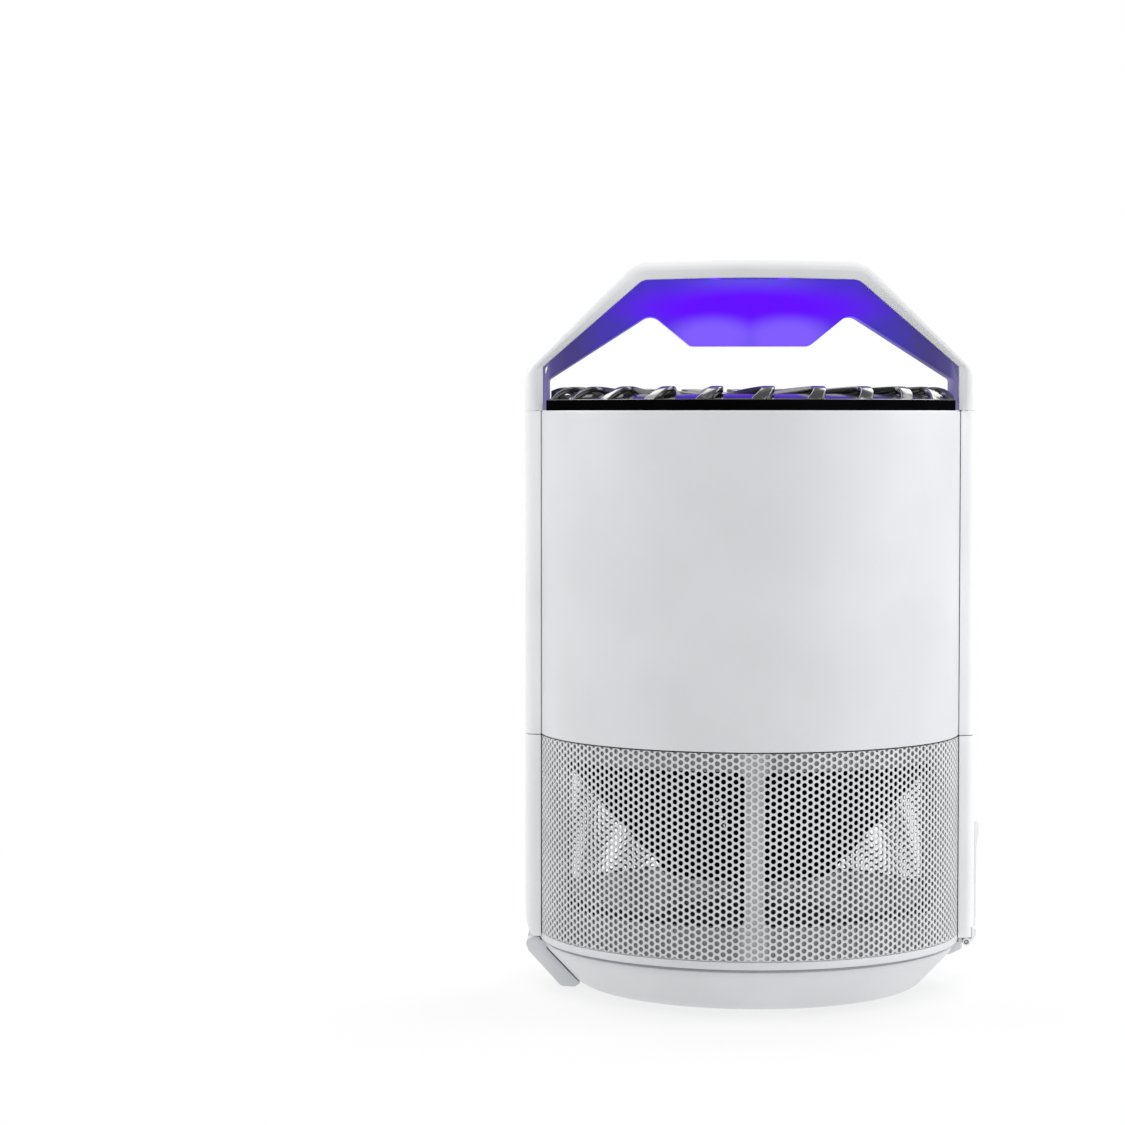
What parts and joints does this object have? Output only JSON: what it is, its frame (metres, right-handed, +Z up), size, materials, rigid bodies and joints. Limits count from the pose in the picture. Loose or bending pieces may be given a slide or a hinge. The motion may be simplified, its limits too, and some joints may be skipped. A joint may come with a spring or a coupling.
{
  "type": "indoor insect trap",
  "caption": "Upright fan insect trap with an ultraviolet lamp in its handle, a swirl inlet grille and a hinged base that holds a glue board behind a perforated screen.",
  "frame": {"origin": "on the body's vertical axis, in the plane of the feet's undersides", "axes": "+Z up, front towards -Y, +X to the right seen from the front; the hinge is at -X and the latch at +X"},
  "size_m": [0.1718, 0.1606, 0.2768],
  "materials": {
    "white_shell": "satin",
    "strip_shell": "satin",
    "black_plastic": "semi-gloss",
    "grey_plastic": "satin",
    "tray_plastic": "satin",
    "glue_card": "glossy adhesive",
    "painted_screen": "satin",
    "lit_diffuser": "milky, lit violet",
    "uv_lamp": "lit",
    "steel": "plain",
    "bronze": "sintered",
    "rubber": "matt",
    "circuit_board": "solder mask",
    "cable": "satin"
  },
  "bodies": {
    "base": {"base_bowl": "white_shell", "rubber_foot_1": "rubber", "rubber_foot_2": "rubber", "rubber_foot_3": "rubber", "rubber_foot_4": "rubber", "catch_tray": "tray_plastic", "hinge_pin": "steel", "latch_pin": "steel"},
    "glue_board": {"glue_board": "glue_card"},
    "latch": {"latch_lever": "strip_shell"},
    "fan": {"fan_impeller": "black_plastic", "fan_shaft": "steel"},
    "power_button": {"power_button": "grey_plastic"},
    "mode_button": {"mode_button": "grey_plastic"},
    "upper_unit": {"housing_shell": "white_shell", "cage_frame": "white_shell", "fan_duct": "white_shell", "side_strip_left": "strip_shell", "side_strip_right": "strip_shell", "cage_strip_left": "strip_shell", "cage_strip_right": "strip_shell", "handle_shell": "strip_shell", "inlet_grille": "black_plastic", "funnel": "black_plastic", "power_jack": "black_plastic", "bell_mouth": "grey_plastic", "power_switch": "tray_plastic", "mode_switch": "tray_plastic", "screen_front": "painted_screen", "screen_rear": "painted_screen", "handle_diffuser": "lit_diffuser", "uv_lamp_1": "uv_lamp", "uv_lamp_2": "uv_lamp", "uv_lamp_3": "uv_lamp", "uv_lamp_4": "uv_lamp", "fan_motor": "steel", "deck_screw_1": "steel", "deck_screw_2": "steel", "deck_screw_3": "steel", "deck_screw_4": "steel", "handle_screw_left": "steel", "handle_screw_right": "steel", "lower_bearing": "bronze", "upper_bearing": "bronze", "lamp_board": "circuit_board", "control_board": "circuit_board", "lamp_lead": "cable", "motor_lead": "cable", "power_lead": "cable"}
  },
  "joints": [
    {"name": "base_hinge", "type": "hinge", "parent": "base", "child": "upper_unit", "pos_m": [-0.0823, 0, 0.0172], "axis": [0, -1, 0], "range_deg": [0, 90]},
    {"name": "latch_pivot", "type": "hinge", "parent": "base", "child": "latch", "pos_m": [0.0822, 0, 0.0184], "axis": [0, 1, 0], "range_deg": [0, 14]},
    {"name": "glue_board_lift", "type": "slide", "parent": "base", "child": "glue_board", "axis": [0, 0, 1], "range_m": [0, 0.0075]},
    {"name": "fan_spin", "type": "hinge", "parent": "upper_unit", "child": "fan", "pos_m": [0, 0, 0.15], "axis": [0, 0, 1], "continuous": true},
    {"name": "power_press", "type": "slide", "parent": "upper_unit", "child": "power_button", "axis": [0, -1, 0], "range_m": [0, 0.001], "stiffness_N_per_m": 50},
    {"name": "mode_press", "type": "slide", "parent": "upper_unit", "child": "mode_button", "axis": [0, -1, 0], "range_m": [0, 0.001], "stiffness_N_per_m": 50}
  ]
}
